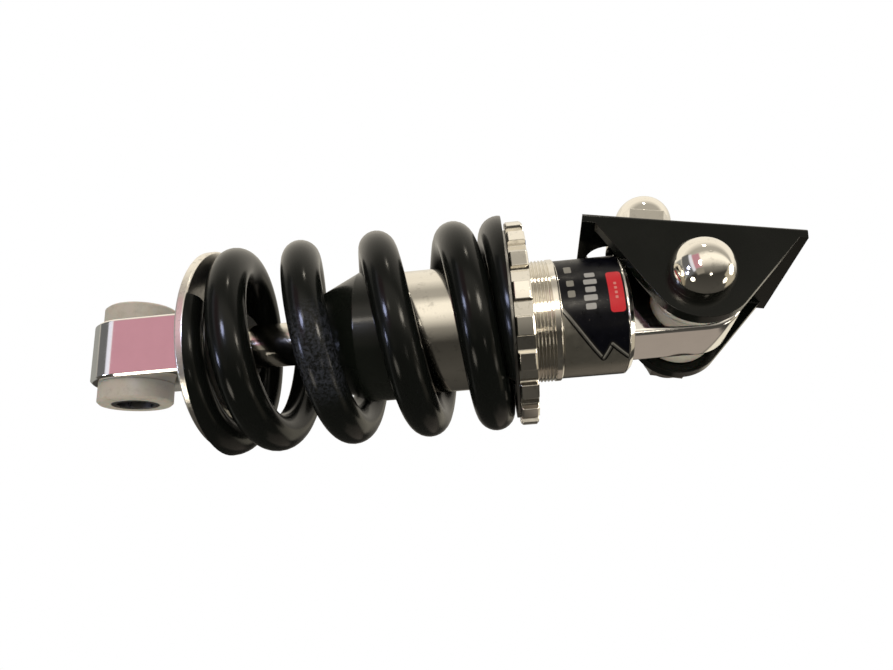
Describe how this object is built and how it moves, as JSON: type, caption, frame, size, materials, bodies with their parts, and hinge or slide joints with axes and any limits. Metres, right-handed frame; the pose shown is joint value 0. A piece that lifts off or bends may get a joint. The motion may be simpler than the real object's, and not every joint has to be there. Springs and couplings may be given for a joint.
{
  "type": "coil-over rear shock absorber",
  "caption": "Coil-over rear damper with a threaded preload ring, bushed eyes and a U-shaped pivot bracket.",
  "frame": {"origin": "centre of the shaft eye bore", "axes": "+X along the shock from the shaft eye to the bracket end, Y along the bracket pivot bolt with its round head at -Y, +Z on the side of the bracket web"},
  "size_m": [0.1578, 0.0487, 0.0547],
  "materials": {
    "bracket_black": "gloss black powder coat, bare cut edges",
    "spring_black": "gloss black powder coat",
    "chrome": "bright chrome plate",
    "worn_chrome": "scuffed chrome plate with a pitted rim",
    "head_black": "satin black anodised aluminium",
    "polished_steel": "polished chrome-plated steel",
    "polished_aluminium": "mirror polished",
    "zinc_steel": "zinc plated",
    "nylon": "natural nylon, slightly translucent",
    "label_film": "printed film",
    "black_rubber": "moulded rubber",
    "seal_rubber": "nitrile rubber",
    "bronze": "sintered bronze",
    "bumper_urethane": "polyurethane foam",
    "blue_nylon": "nylon insert",
    "piston_aluminium": "machined",
    "ptfe": "filled PTFE"
  },
  "bodies": {
    "frame_bracket": {"bracket": "bracket_black", "pivot_bolt": "chrome", "pivot_washer": "zinc_steel", "pivot_nut": "zinc_steel", "pivot_nut_insert": "blue_nylon", "body_eye_sleeve": "zinc_steel", "frame_stud": "zinc_steel", "frame_washer": "chrome", "frame_cap_nut": "chrome"},
    "damper_body": {"damper_tube": "polished_steel", "seal_head": "head_black", "wiper_seal": "seal_rubber", "rod_bushing": "bronze", "rod_seal": "seal_rubber", "seal_retainer": "zinc_steel", "label_band": "label_film", "body_eye": "polished_aluminium", "body_eye_o_ring": "seal_rubber", "body_eye_bush_near": "nylon", "body_eye_bush_far": "nylon", "coil_spring": "spring_black"},
    "spring_seat": {"spring_slip_washer": "zinc_steel"},
    "preload_adjuster": {"preload_ring": "chrome"},
    "shaft_spring_plate": {"spring_plate": "worn_chrome"},
    "shaft": {"piston_rod": "polished_steel", "shaft_eye": "polished_aluminium", "shaft_eye_bush_lower": "nylon", "shaft_eye_bush_upper": "nylon", "piston": "piston_aluminium", "piston_ring": "ptfe", "piston_nut": "zinc_steel", "top_out_bumper": "black_rubber", "bump_stop": "bumper_urethane"},
    "shaft_eye_sleeve": {"shaft_eye_sleeve": "zinc_steel"}
  },
  "joints": [
    {"name": "body_pivot", "type": "hinge", "parent": "frame_bracket", "child": "damper_body", "pos_m": [0.125, 0, 0], "axis": [0, -1, 0], "range_deg": [-0.5, 150]},
    {"name": "shaft_stroke", "type": "slide", "parent": "damper_body", "child": "shaft_spring_plate", "axis": [1, 0, 0], "range_m": [0, 0.017], "stiffness_N_per_m": 20000, "springref_m": -0.001, "deforming": ["coil_spring"]},
    {"name": "shaft_swivel", "type": "hinge", "parent": "shaft_spring_plate", "child": "shaft", "pos_m": [0.02, 0, 0], "axis": [1, 0, 0], "continuous": true},
    {"name": "shaft_eye_sleeve_turn", "type": "hinge", "parent": "shaft", "child": "shaft_eye_sleeve", "pos_m": [0, 0, 0], "axis": [0, 0.2079, -0.9781], "continuous": true},
    {"name": "preload_slide", "type": "slide", "parent": "damper_body", "child": "spring_seat", "axis": [1, 0, 0], "range_m": [0, 0.0045]},
    {"name": "preload_spin", "type": "hinge", "parent": "spring_seat", "child": "preload_adjuster", "pos_m": [0.088, 0, 0], "axis": [1, 0, 0], "range_deg": [0, 1620]}
  ],
  "couplings": [
    {"joint": "preload_spin", "follows": "preload_slide", "rad_per_m": 6283.2}
  ]
}
